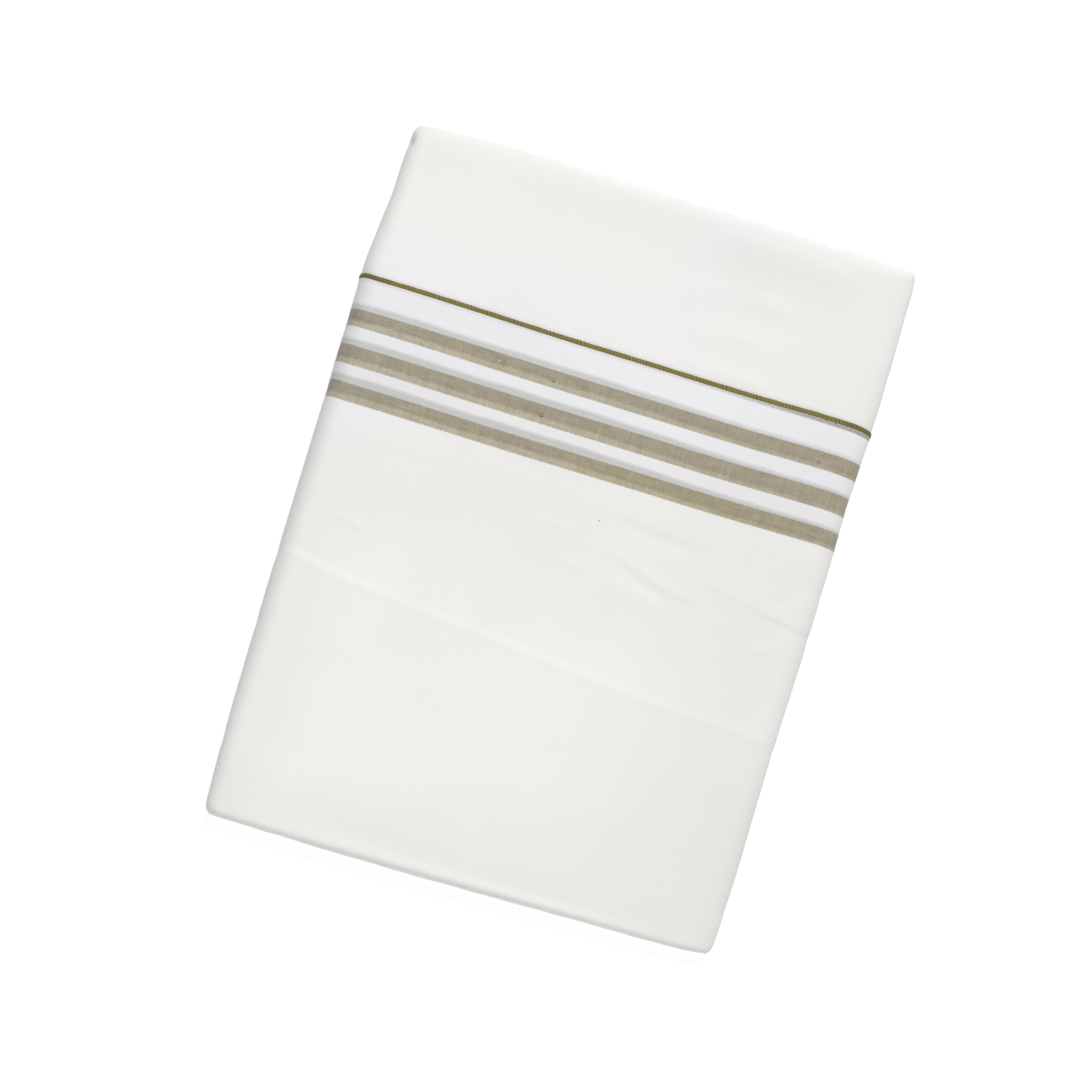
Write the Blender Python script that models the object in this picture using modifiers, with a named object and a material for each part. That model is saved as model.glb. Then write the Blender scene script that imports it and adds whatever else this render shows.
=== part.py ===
"""A white cotton dhoti, folded into a flat packet.

One woven length is doubled selvage to selvage, folded over again so that the two selvages
stop short of the first fold, and then wound flat.  The outer turn runs over the top face,
round both side edges and along the underside.  Two stretches of it show: the bordered
stretch up to its corded selvage, and the plain stretch that comes out from under it.
Every hidden turn is one rounded core, whose stacked folds show at the two ends.

Metres, +Z up.  X runs along the border's stripes, +Y points to the end with the selvage,
and the packet lies on Z = 0 with its box centred on the origin.
"""
import math
from collections import namedtuple

import bmesh
import bpy
from mathutils import Vector

# ---------------------------------------------------------------- driving dimensions
LENGTH = 0.3576            # packet, bottom fold to top fold
SELVAGE_FROM_TOP = 0.0869  # selvage line to the top fold, mid width
BORDER_HEIGHT = 0.0200     # packet thickness over the bordered stretch
BOX_CENTRE_X = 0.0004      # the side table's middle, brought over the origin
CROWN = 0.0006             # how far the middle of the top face stands above its sides

WALL = 0.0012              # cloth wall
SEAM = 0.0003              # gap wherever two pieces meet
TUCK = 0.008               # how far the plain stretch runs on beneath the border
TUCK_EASE = 0.004          # length over which the core sinks to make room for it
SPINE_STEP = 0.0005        # how far the plain stretch lies inside the border at the sides

CORD_WIDTH = 0.0022
CORD_PROUD = 0.0003        # how far the cord stands above the border's face

WIDEST_AT = 0.45           # height of the widest point of a side edge, of the thickness
LEFT_ROUNDING = 0.0092     # how far in from the left edge the top face starts to turn down
RIGHT_ROUNDING = 0.0140
UNDER_ROUNDING = 0.0080    # the same for the flat underside
ROUNDING_KEPT = 0.35       # share of these that stays however thin the packet gets
CLOTH_END_X = 0.030        # where the wound length ends, on the underside
CLOTH_END_GAP = 0.0006

# Ends of the packet: over what reach the top drops and the underside lifts toward the tip;
# then, seen from above, how far in each corner starts to turn and how far it is cut.
EndForm = namedtuple("EndForm", "reach drop under_reach lift corner_reach left_corner right_corner")
BOTTOM_END = EndForm(0.0036, 0.0025, 0.0080, 0.0060, 0.0070, left_corner=0.0060, right_corner=0.0045)
TOP_END = EndForm(0.0110, 0.0055, 0.0110, 0.0025, 0.0110, left_corner=0.0050, right_corner=0.0020)
LIP_ANGLE = 62.0           # degrees round each end at which the outer turn stops
LIP_CLEARANCE = 5.0        # degrees past the lip before the core comes to the surface
END_SQUARENESS = 2.4       # 2 rounds an end like an ellipse, more makes it squarer
CORE_END_ANGLE = 80.0      # degrees round each end at which the core's stacked folds begin
UNDER_LIP = 0.0084         # the outer turn's edge on the underside, from the bottom tip
UNDER_BARE = 0.0015        # how far the core stays back from that edge
LAYER_STEP = 0.0006        # one fold of the stack at each end
LAYER_DEPTH = 0.0007       # how far every other fold is set back

# Side edges against distance from the bottom fold.
SideRow = namedtuple("SideRow", "along left right")
SIDES = [
    SideRow(0.000, -0.1273, 0.1236),
    SideRow(0.012, -0.1277, 0.1244),
    SideRow(0.040, -0.1285, 0.1252),
    SideRow(0.075, -0.1286, 0.1254),
    SideRow(0.108, -0.1286, 0.1258),
    SideRow(0.157, -0.1282, 0.1270),
    SideRow(0.206, -0.1277, 0.1277),
    SideRow(0.254, -0.1274, 0.1282),
    SideRow(0.268, -0.1274, 0.1288),
    SideRow(0.278, -0.1278, 0.1295),
    SideRow(0.304, -0.1258, 0.1299),
    SideRow(0.323, -0.1244, 0.1298),
    SideRow(0.343, -0.1237, 0.1298),
    SideRow(LENGTH, -0.1235, 0.1297),
]

# Thickness against distance from the bottom fold, as if the border ran the whole length.
HeightRow = namedtuple("HeightRow", "along height")
HEIGHTS = [
    HeightRow(0.000, 0.0102),
    HeightRow(0.010, 0.0116),
    HeightRow(0.030, 0.0140),
    HeightRow(0.060, 0.0167),
    HeightRow(0.100, 0.0190),
    HeightRow(0.150, BORDER_HEIGHT),
    HeightRow(0.265, BORDER_HEIGHT),
    HeightRow(0.300, 0.0178),
    HeightRow(0.330, 0.0152),
    HeightRow(LENGTH, 0.0140),
]

# Bottom fold, selvage line and top fold against X: how far each strays toward +Y.
EndRow = namedtuple("EndRow", "x bottom selvage top")
ENDS = [
    EndRow(-0.130, 0.0009, 0.0024, -0.0020),
    EndRow(-0.110, 0.0006, 0.0025, -0.0012),
    EndRow(-0.072, 0.0001, 0.0016, 0.0000),
    EndRow(-0.024, 0.0000, 0.0001, -0.0008),
    EndRow(0.023, 0.0005, -0.0007, -0.0016),
    EndRow(0.071, 0.0012, -0.0015, -0.0024),
    EndRow(0.109, 0.0018, -0.0014, -0.0031),
    EndRow(0.130, 0.0030, -0.0022, -0.0040),
]

# Creases pressed into the outer turn: a soft ridge from one point to another.
Crease = namedtuple("Crease", "x1 y1 x2 y2 height width")
CREASES = [
    Crease(-0.104, -0.035, 0.118, -0.060, 0.0006, 0.010),
    Crease(0.000, 0.034, 0.052, 0.010, 0.0005, 0.009),
    Crease(0.040, 0.004, 0.118, -0.004, 0.0004, 0.009),
]

# Samples round the section and along the packet.
UNDER_STEPS = 5
SPINE_STEPS = 8
TOP_STEPS = 20
END_STEPS = 4
BORDER_STEPS = 20
BORDER_EVEN = 0.0124       # past here the border's rows run straight across
UNDER_ROWS = 6
PLAIN_STEPS = 6
PLAIN_START_STEPS = 3
CORD_SIDES = 8
LAST_PLACE = 5.0 - 1e-6    # the cloth's end on the underside, just short of a whole turn

COLLECTION = "dhoti_cloth"
WHITE = (0.84, 0.84, 0.81, 1.0)
CREAM = (0.82, 0.81, 0.77, 1.0)
OLIVE = (0.17, 0.14, 0.045, 1.0)
COTTON_ROUGHNESS = 0.85

SELVAGE_ALONG = LENGTH - SELVAGE_FROM_TOP
UNDER_LEFT, LEFT_SPINE, TOP, RIGHT_SPINE, UNDER_RIGHT = range(5)


# ---------------------------------------------------------------- plain maths
def smooth(value):
    """Ease from 0 to 1 as value goes from 0 to 1."""
    held = min(max(value, 0.0), 1.0)
    return held * held * (3.0 - 2.0 * held)


def read_table(rows, column, at):
    """Read one column of a table at a value of its first column, on a smooth curve."""
    keys = [row[0] for row in rows]
    values = [getattr(row, column) for row in rows]
    if at <= keys[0]:
        return values[0]
    if at >= keys[-1]:
        return values[-1]
    i = max(k for k in range(len(keys) - 1) if keys[k] <= at)
    slopes = [(values[k + 1] - values[k]) / (keys[k + 1] - keys[k]) for k in range(len(keys) - 1)]
    start = slopes[i] if i == 0 else 0.5 * (slopes[i - 1] + slopes[i])
    stop = slopes[i] if i == len(slopes) - 1 else 0.5 * (slopes[i] + slopes[i + 1])
    span = keys[i + 1] - keys[i]
    t = (at - keys[i]) / span
    return (values[i] * (2 * t**3 - 3 * t**2 + 1) + values[i + 1] * (3 * t**2 - 2 * t**3)
            + span * start * (t**3 - 2 * t**2 + t) + span * stop * (t**3 - t**2))


def crease_relief(x, y):
    """Height that the pressed creases add at a point of the top face."""
    total = 0.0
    for crease in CREASES:
        start = Vector((crease.x1, crease.y1))
        run = Vector((crease.x2, crease.y2)) - start
        t = (Vector((x, y)) - start).dot(run) / run.length_squared
        away = (Vector((x, y)) - start - run * t).length
        fade = smooth(4.0 * t) * smooth(4.0 * (1.0 - t))
        total += crease.height * fade * math.exp(-(away / crease.width) ** 2)
    return total


# ---------------------------------------------------------------- the packet's outer form
def end_turn(distance, reach):
    """How far an end's quarter turn has dropped, 0 clear of it and 1 at the tip."""
    into = min(max(1.0 - distance / reach, 0.0), 1.0)
    return 1.0 - (1.0 - into**END_SQUARENESS) ** (1.0 / END_SQUARENESS)


def plan_y(x, along):
    """Y of a point, from its distance along the packet and its place across it."""
    bottom = -0.5 * LENGTH + read_table(ENDS, "bottom", x)
    selvage = SELVAGE_ALONG - 0.5 * LENGTH + read_table(ENDS, "selvage", x)
    top = 0.5 * LENGTH + read_table(ENDS, "top", x)
    if along < SELVAGE_ALONG:
        return bottom + (selvage - bottom) * along / SELVAGE_ALONG
    return selvage + (top - selvage) * (along - SELVAGE_ALONG) / SELVAGE_FROM_TOP


def form_point(round_at, along):
    """A point of the smooth outer form.

    round_at counts the five zones of the section, from the cloth's end on the underside, by
    the left edge, the top face and the right edge, back to the underside.
    """
    bottom = end_turn(along, BOTTOM_END.reach)
    top = end_turn(LENGTH - along, TOP_END.reach)
    height = read_table(HEIGHTS, "height", along)
    high = height - BOTTOM_END.drop * bottom - TOP_END.drop * top
    low = (BOTTOM_END.lift * end_turn(along, BOTTOM_END.under_reach)
           + TOP_END.lift * end_turn(LENGTH - along, TOP_END.under_reach))
    bottom_cut = end_turn(along, BOTTOM_END.corner_reach)
    top_cut = end_turn(LENGTH - along, TOP_END.corner_reach)
    left = (read_table(SIDES, "left", along)
            + BOTTOM_END.left_corner * bottom_cut + TOP_END.left_corner * top_cut)
    right = (read_table(SIDES, "right", along)
             - BOTTOM_END.right_corner * bottom_cut - TOP_END.right_corner * top_cut)
    middle = low + WIDEST_AT * (high - low)
    squeeze = ROUNDING_KEPT + (1.0 - ROUNDING_KEPT) * (high - low) / BORDER_HEIGHT
    zone = min(int(round_at), UNDER_RIGHT)
    part = round_at - zone
    if zone == UNDER_LEFT:
        stop = left + UNDER_ROUNDING * squeeze
        x = (CLOTH_END_X - 0.5 * CLOTH_END_GAP) * (1.0 - part) + stop * part
        z = low
    elif zone == UNDER_RIGHT:
        start = right - UNDER_ROUNDING * squeeze
        x = start * (1.0 - part) + (CLOTH_END_X + 0.5 * CLOTH_END_GAP) * part
        z = low
    elif zone == TOP:
        x = (left + LEFT_ROUNDING * squeeze) * (1.0 - part) + (right - RIGHT_ROUNDING * squeeze) * part
        z = high
    else:
        on_left = zone == LEFT_SPINE
        turn = math.pi * (part - 0.5) * (1.0 if on_left else -1.0)
        rounding = LEFT_ROUNDING if on_left else RIGHT_ROUNDING
        rounding = (rounding if turn > 0.0 else UNDER_ROUNDING) * squeeze
        inward = rounding * (1.0 - math.cos(turn))
        x = left + inward if on_left else right - inward
        z = middle + math.sin(turn) * (high - middle if turn > 0.0 else middle - low)
    y = plan_y(x, along)
    if z > middle:
        lifted = (z - middle) / (high - middle)
        across = (x - left) / (right - left)
        z += lifted * (CROWN * math.sin(math.pi * across) * (1.0 - bottom - top) + crease_relief(x, y))
    return Vector((x - BOX_CENTRE_X, y, z))


def form_normal(round_at, along):
    """The outward direction of the form, from its neighbours on the section and along it."""
    small_round, small_along = 0.01, 0.0002
    before = max(round_at - small_round, 0.0)
    after = min(round_at + small_round, LAST_PLACE)
    across = form_point(after, along) - form_point(before, along)
    back = max(along - small_along, 0.0)
    ahead = min(along + small_along, LENGTH)
    forward = form_point(round_at, ahead) - form_point(round_at, back)
    return forward.cross(across).normalized() * -1.0


def layer_point(round_at, along, depth):
    """A point at a depth below the outer form; the underside stays level."""
    return form_point(round_at, along) - form_normal(round_at, along) * depth


# ---------------------------------------------------------------- how deep each piece lies
def side_share(round_at):
    """1 round the upper half of the packet, 0 on the flat underside."""
    return smooth((round_at - LEFT_SPINE) / 0.5) * smooth((UNDER_RIGHT - round_at) / 0.5)


def top_share(round_at):
    """1 on the top face, 0 from the widest point of each side edge down."""
    return smooth((round_at - LEFT_SPINE) / 0.5 - 1.0) * smooth((UNDER_RIGHT - round_at) / 0.5 - 1.0)


def plain_depth(round_at):
    """Depth of the plain stretch: a wall and a seam below the border on the top face."""
    on_top = top_share(round_at)
    return (WALL + SEAM) * on_top + SPINE_STEP * (side_share(round_at) - on_top)


def plain_start(round_at):
    """Where the plain stretch begins: beneath the border on top, past the cord elsewhere."""
    if TOP <= round_at <= RIGHT_SPINE:
        return SELVAGE_ALONG - TUCK
    return SELVAGE_ALONG + 0.5 * CORD_WIDTH + SEAM


def end_angle(distance, reach):
    """Degrees round an end's quarter turn."""
    return math.degrees(math.asin(min(max(1.0 - distance / reach, 0.0), 1.0)))


def lip_distance(round_at):
    """Where the outer turn starts at the bottom end: at the lip on top, further in beneath."""
    on_top = BOTTOM_END.reach * (1.0 - math.sin(math.radians(LIP_ANGLE)))
    return on_top + (UNDER_LIP - on_top) * (1.0 - side_share(round_at))


def bare_beneath(round_at, along):
    """1 where the stacked folds of the bottom end lie bare on the underside, 0 elsewhere."""
    neighbour = 1.0 / SPINE_STEPS
    nearest = min(lip_distance(round_at - neighbour), lip_distance(round_at + neighbour))
    return smooth((nearest - UNDER_BARE - along) / 0.001)


def core_depth(round_at, along, set_back):
    """Depth of the core: a wall and a seam below what covers it, and bare past the lips."""
    sunk = smooth((along - (SELVAGE_ALONG - TUCK - TUCK_EASE)) / (TUCK_EASE - SEAM))
    covered = WALL + SEAM + plain_depth(round_at) * sunk
    angle = max(end_angle(along, BOTTOM_END.reach), end_angle(LENGTH - along, TOP_END.reach))
    bare = smooth((angle - LIP_ANGLE - LIP_CLEARANCE) / (CORE_END_ANGLE - LIP_ANGLE - LIP_CLEARANCE))
    beneath = bare_beneath(round_at, along)
    return covered + (SEAM - covered) * max(bare, beneath) + set_back * beneath


# ---------------------------------------------------------------- samples and meshes
def section_samples():
    """Places round the section, closer together on the side edges."""
    steps = [UNDER_STEPS, SPINE_STEPS, TOP_STEPS, SPINE_STEPS, UNDER_STEPS]
    places = [zone + k / count for zone, count in enumerate(steps) for k in range(count)]
    return places + [LAST_PLACE]


def end_samples(reach, last_angle, steps):
    """Distances from an end's tip to the foot of its quarter turn, evenly spaced round it."""
    angles = [math.radians(last_angle) * k / steps for k in range(steps, 0, -1)]
    return [reach * (1.0 - math.sin(angle)) for angle in angles]


def spread(start, stop, steps):
    """Evenly spaced values from start to stop, both included."""
    return [start + (stop - start) * k / steps for k in range(steps + 1)]


def add_grid(bm, rows, closed):
    """Faces between rows of points; closed also joins each row's last point to its first."""
    verts = [[bm.verts.new(point) for point in row] for row in rows]
    count = len(rows[0])
    for lower, upper in zip(verts, verts[1:]):
        for i in range(count if closed else count - 1):
            j = (i + 1) % count
            bm.faces.new((lower[i], lower[j], upper[j], upper[i]))
    return verts


def face_outward(bm):
    """Turn every face of a closed mesh outward."""
    bmesh.ops.recalc_face_normals(bm, faces=bm.faces)
    if bm.calc_volume(signed=True) < 0.0:
        bmesh.ops.reverse_faces(bm, faces=bm.faces)


def add_object(name, bm, colour):
    """Turn a bmesh into a named object with its own cotton material."""
    mesh = bpy.data.meshes.new(name)
    bm.to_mesh(mesh)
    bm.free()
    mesh.shade_smooth()
    material = bpy.data.materials.new(name + "_cotton")
    material.use_nodes = True
    shader = material.node_tree.nodes["Principled BSDF"]
    shader.inputs["Base Color"].default_value = colour
    shader.inputs["Roughness"].default_value = COTTON_ROUGHNESS
    mesh.materials.append(material)
    part = bpy.data.objects.new(name, mesh)
    bpy.data.collections[COLLECTION].objects.link(part)
    return part


def add_wall(name, rows, colour):
    """A cloth wall: an open surface on the outer form, thickened inward."""
    bm = bmesh.new()
    add_grid(bm, rows, closed=False)
    part = add_object(name, bm, colour)
    thicken = part.modifiers.new("wall", 'SOLIDIFY')
    thicken.thickness = WALL
    thicken.offset = -1.0
    thicken.use_even_offset = True
    return part


def border_stations():
    """Distances along the packet from the bottom lip to where the core starts to sink."""
    return (end_samples(BOTTOM_END.reach, LIP_ANGLE, END_STEPS)
            + spread(BOTTOM_END.reach, BORDER_EVEN, UNDER_ROWS)[:-1]
            + spread(BORDER_EVEN, SELVAGE_ALONG - TUCK - TUCK_EASE, BORDER_STEPS))


def border_along(round_at, station):
    """A station of the border, drawn in toward its edge on the underside."""
    first = border_stations()[0]
    if station >= BORDER_EVEN:
        return station
    start = lip_distance(round_at)
    return start + (BORDER_EVEN - start) * (station - first) / (BORDER_EVEN - first)


# ---------------------------------------------------------------- the pieces
def border_stretch():
    """The bordered stretch: from the bottom fold to the selvage, all the way round."""
    stations = border_stations() + [SELVAGE_ALONG - 0.5 * CORD_WIDTH - SEAM]
    rows = [[form_point(place, border_along(place, station)) for place in section_samples()]
            for station in stations]
    add_wall("border_stretch", rows, WHITE)


def plain_stretch():
    """The plain stretch: from beneath the border to the top fold, all the way round."""
    places = section_samples()
    joined = SELVAGE_ALONG + CORD_WIDTH + TUCK_EASE
    tips = [LENGTH - distance for distance in end_samples(TOP_END.reach, LIP_ANGLE, END_STEPS)]
    starts = [[plain_start(place) * (1.0 - t) + joined * t for place in places]
              for t in spread(0.0, 1.0, PLAIN_START_STEPS)]
    onward = spread(joined, LENGTH - TOP_END.reach, PLAIN_STEPS)[1:] + tips[::-1]
    lines = starts + [[along] * len(places) for along in onward]
    rows = [[layer_point(place, along, plain_depth(place)) for place, along in zip(places, line)]
            for line in lines]
    add_wall("plain_stretch", rows, CREAM)


def selvage_cord():
    """The corded selvage: a flattened cord along the border's edge, all the way round."""
    rows = []
    for place in section_samples():
        proud = CORD_PROUD * side_share(place)
        ring = []
        for k in range(CORD_SIDES):
            turn = 2.0 * math.pi * k / CORD_SIDES
            along = SELVAGE_ALONG + 0.5 * CORD_WIDTH * math.cos(turn)
            depth = 0.5 * (WALL - proud) - 0.5 * (WALL + proud) * math.sin(turn)
            ring.append(layer_point(place, along, depth))
        rows.append(ring)
    bm = bmesh.new()
    verts = add_grid(bm, rows, closed=True)
    bm.faces.new(verts[0])
    bm.faces.new(verts[-1])
    face_outward(bm)
    add_object("selvage_cord", bm, OLIVE)


def add_stacked_folds(bm, ring, toward):
    """Close one end of the core with rings that step in and out like stacked folds."""
    centre_z = 0.5 * (min(v.co.z for v in ring) + max(v.co.z for v in ring))
    left = min(v.co.x for v in ring)
    right = max(v.co.x for v in ring)
    half = 0.5 * (max(v.co.z for v in ring) - min(v.co.z for v in ring))
    steps = max(1, round(half / LAYER_STEP))
    outer = ring
    for k in range(1, steps):
        share = k / steps
        inset = half * share
        set_back = LAYER_DEPTH if k % 2 else 0.0
        inner = []
        for vert in ring:
            x = min(max(vert.co.x, left + inset), right - inset)
            z = centre_z + (vert.co.z - centre_z) * (1.0 - share)
            inner.append(bm.verts.new((x, vert.co.y - toward * set_back, z)))
        for i in range(len(ring)):
            j = (i + 1) % len(ring)
            bm.faces.new((outer[i], outer[j], inner[j], inner[i]))
        outer = inner
    bm.faces.new(outer)


def folded_core():
    """The hidden turns: one rounded solid, stacked folds showing at both ends."""
    places = section_samples()[:-1]
    emerging = [LIP_ANGLE + LIP_CLEARANCE, CORE_END_ANGLE]
    bottom_tips = [BOTTOM_END.reach * (1.0 - math.sin(math.radians(angle))) for angle in emerging[::-1]]
    top_tips = [LENGTH - TOP_END.reach * (1.0 - math.sin(math.radians(angle))) for angle in emerging]
    lips = [LENGTH - distance for distance in end_samples(TOP_END.reach, LIP_ANGLE, END_STEPS)]
    stations = (bottom_tips + border_stations() + [SELVAGE_ALONG - TUCK - SEAM]
                + spread(SELVAGE_ALONG, LENGTH - TOP_END.reach, PLAIN_STEPS + 1)
                + lips[::-1] + top_tips)
    rows = [[layer_point(place, along, core_depth(place, along, LAYER_DEPTH * (k % 2))) for place in places]
            for k, along in enumerate(stations)]
    bm = bmesh.new()
    verts = add_grid(bm, rows, closed=True)
    add_stacked_folds(bm, verts[0], -1.0)
    add_stacked_folds(bm, verts[-1], 1.0)
    face_outward(bm)
    add_object("folded_core", bm, WHITE)


def build():
    """Clear the scene and make every piece of the folded cloth."""
    for old in list(bpy.data.objects):
        bpy.data.objects.remove(old, do_unlink=True)
    collection = bpy.data.collections.new(COLLECTION)
    bpy.context.scene.collection.children.link(collection)
    border_stretch()
    plain_stretch()
    selvage_cord()
    folded_core()


build()
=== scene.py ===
"""Looks of the folded dhoti: woven cloth, borders, corded selvage and stacked folds.

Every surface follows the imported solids' own form, a flat-wound packet whose section has five
zones: the underside from the cloth's end to the left, the left edge, the top face, the right
edge, and the underside back to the cloth's end.  A place round the section is a number from 0
to 5, one for each zone, and a distance along the packet starts at the bottom fold.

Metres, +Z up, the frame's own axes.  The tables of creases, puckers, dents, stripes, slubs and
patches, and every distance in a material, are in millimetres.
"""
import math
from collections import namedtuple

import bpy
import numpy as np
from mathutils import Matrix, Vector


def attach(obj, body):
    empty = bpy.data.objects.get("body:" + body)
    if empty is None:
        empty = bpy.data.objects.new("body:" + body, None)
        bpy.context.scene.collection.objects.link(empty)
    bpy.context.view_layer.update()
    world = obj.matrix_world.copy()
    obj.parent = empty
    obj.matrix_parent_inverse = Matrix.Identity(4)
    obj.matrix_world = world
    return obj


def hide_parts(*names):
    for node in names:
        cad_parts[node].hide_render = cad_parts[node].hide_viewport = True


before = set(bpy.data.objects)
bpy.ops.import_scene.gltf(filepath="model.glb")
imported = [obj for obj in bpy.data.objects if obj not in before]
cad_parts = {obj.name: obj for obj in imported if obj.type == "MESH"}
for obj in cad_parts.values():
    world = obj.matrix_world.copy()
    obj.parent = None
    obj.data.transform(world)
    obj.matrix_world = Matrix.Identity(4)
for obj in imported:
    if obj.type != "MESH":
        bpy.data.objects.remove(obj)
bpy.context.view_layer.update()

# ---- the packet's form, as in the solids
LENGTH = 0.3576  # bottom fold to top fold
SELVAGE_FROM_TOP = 0.0869
SELVAGE_ALONG = LENGTH - SELVAGE_FROM_TOP
BORDER_HEIGHT = 0.0200
BOX_CENTRE_X = 0.0004  # the side table's middle, brought over the origin
CROWN = 0.0006  # how far the middle of the top face stands above its sides
WIDEST_AT = 0.45  # height of the widest point of a side edge, of the thickness
LEFT_ROUNDING = 0.0092  # how far in from the left edge the top face starts to turn down
RIGHT_ROUNDING = 0.0140
UNDER_ROUNDING = 0.0080  # the same for the flat underside
ROUNDING_KEPT = 0.35  # share of these that stays however thin the packet gets
END_SQUARENESS = 2.4  # 2 rounds an end like an ellipse, more makes it squarer
CLOTH_END_X = 0.030  # where the wound length ends, on the underside
CLOTH_END_GAP = 0.0006
TUCK = 0.008  # how far the plain stretch runs on beneath the border

# Ends of the packet: over what reach the top drops and the underside lifts toward the tip;
# then, seen from above, how far in each corner starts to turn and how far it is cut.
EndForm = namedtuple("EndForm", "reach drop under_reach lift corner_reach left_corner right_corner")
BOTTOM_END = EndForm(0.0036, 0.0025, 0.0080, 0.0060, 0.0070, left_corner=0.0060, right_corner=0.0032)
TOP_END = EndForm(0.0110, 0.0055, 0.0110, 0.0025, 0.0110, left_corner=0.0050, right_corner=0.0020)
UNDER_LIP = 0.0084  # the outer turn's edge on the underside, from the bottom tip

SIDES = np.array([  # along, then the left and the right edge
    (0.000, -0.1273, 0.1236),
    (0.012, -0.1277, 0.1244),
    (0.040, -0.1285, 0.1252),
    (0.075, -0.1286, 0.1254),
    (0.108, -0.1286, 0.1258),
    (0.157, -0.1282, 0.1270),
    (0.206, -0.1277, 0.1275),
    (0.224, -0.1276, 0.1274),
    (0.254, -0.1274, 0.1282),
    (0.268, -0.1274, 0.1288),
    (0.278, -0.1278, 0.1295),
    (0.304, -0.1258, 0.1299),
    (0.323, -0.1244, 0.1298),
    (0.343, -0.1237, 0.1298),
    (LENGTH, -0.1235, 0.1297),
])
HEIGHTS = np.array([  # along, height
    (0.000, 0.0102),
    (0.010, 0.0116),
    (0.030, 0.0140),
    (0.060, 0.0167),
    (0.100, 0.0190),
    (0.150, BORDER_HEIGHT),
    (0.265, BORDER_HEIGHT),
    (0.300, 0.0178),
    (0.330, 0.0152),
    (LENGTH, 0.0140),
])
ENDS = np.array([  # x, then how far the bottom fold, the selvage and the top fold stray toward +Y
    (-0.130, 0.0009, 0.0024, -0.0018),
    (-0.110, 0.0006, 0.0025, -0.0009),
    (-0.072, 0.0001, 0.0016, 0.0003),
    (-0.024, 0.0000, 0.0001, -0.0004),
    (0.023, 0.0005, -0.0007, -0.0012),
    (0.071, 0.0012, -0.0015, -0.0021),
    (0.109, 0.0018, -0.0014, -0.0031),
    (0.130, 0.0042, -0.0022, -0.0040),
])

# ---- the cloth's own sizes
CLOTH = 0.0009  # doubled cloth of the outer turn
PLAIN_DEPTH = 0.0011  # the plain stretch's face below the border's, on top
SIDE_DEPTH = 0.0005  # the same round the side edges
LIP = 80.0  # degrees round the bottom end at which the outer turn folds in
TOP_LIP = 86.0  # the same at the top end
LIP_EASE = 0.0124  # from the bottom tip, where rows that start at the lip run straight
LEFT_RISE = 0.0014  # how far the border rides up, toward the top end, round each edge
RIGHT_RISE = 0.0006
RISE_START, RISE_OVER = 0.130, 0.070  # along the packet, where that begins and over what length
PLAIN_LEVEL = 0.010  # from the selvage, where the plain stretch's rows run straight
TUCK_SHORT = 0.0004  # how much less of the plain stretch is tucked here than in the solids
WAVE_HEIGHT = 0.00016  # soft unevenness of the top face
BORDER_SEED, PLAIN_SEED = 3, 5  # of that unevenness; the cord takes the border's
LIP_ROWS, BORDER_ROWS, PLAIN_ROWS, TOP_ROWS = 12, 310, 54, 14
BORDER_KEEPS, PLAIN_KEEPS = 8, 4  # an inner face has one row for this many of the outer one

CORD_HALF_WIDTH = 0.00138
CORD_HALF_HEIGHT = 0.00070
CORD_SET_UP = 0.00025  # how far the cord lies above the selvage line
CORD_DEPTH = 0.00045  # centre of the cord below the form
CORD_LOWEST = 0.00115  # no part of it lies deeper than this
CORD_TWIST = 0.0025  # length of one turn of the two yarns
CORD_STEP = 0.00020
CORD_SIDES = 12
CORD_OVERLAP = 0.0003  # how far the cloth on each side runs in under the cord

CORE_DEPTH = 0.0015  # the hidden turns' face below the form, and as much again on top
CORE_SIDE_DEPTH = 0.0005  # beneath the plain stretch, or this much more round the edges
BOTTOM_FOLDS = 2  # fold ridges in each half of an end's face
TOP_FOLDS = 5
UNDER_FOLDS = 9  # fold ridges that step back beneath the bottom end
ROWS_A_FOLD = 6
FOLD_DEPTH = 0.0006
END_SET_BACK, END_EVERY_OTHER = 0.00025, 0.0003  # each fold of an end, and every other one besides
UNDER_SET_BACK, UNDER_EVERY_OTHER = 0.0003, 0.0002
FOLDS_FROM, FOLDS_CLEAR = 0.0012, 0.0095  # rows from the bottom tip, on top, that belong to folds
BARE_SHORT, BARE_EASE = 0.0012, 0.0010  # the ridges show up to this far from the lip
CORE_STEP_BACK, CORE_STEP = 0.0040, 0.0037  # before the tuck's edge the core dips, over this length
CORE_ROWS = 30
CORE_TURNS = (15.0, 40.0, 60.0, 74.0)  # degrees round the top end
END_WAVES = ((0.00022, 0.083), (0.00014, 0.037), (0.00008, 0.017))  # a fold's wander: height, length
UNDER_WAVES = ((0.00016, 0.074), (0.00009, 0.029))

LEFT_EDGE, RIGHT_EDGE, LAST_PLACE = 1.5, 3.5, 4.999999  # places round the section
EDGE_TURN = 16.0  # millimetres of cloth in one zone of an edge
FACE_EDGE = 124.0  # a crease that starts or stops beyond this runs on over the edge
FADE = 3.5  # a crease comes in, and dies away, over one part in this of its length

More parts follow.
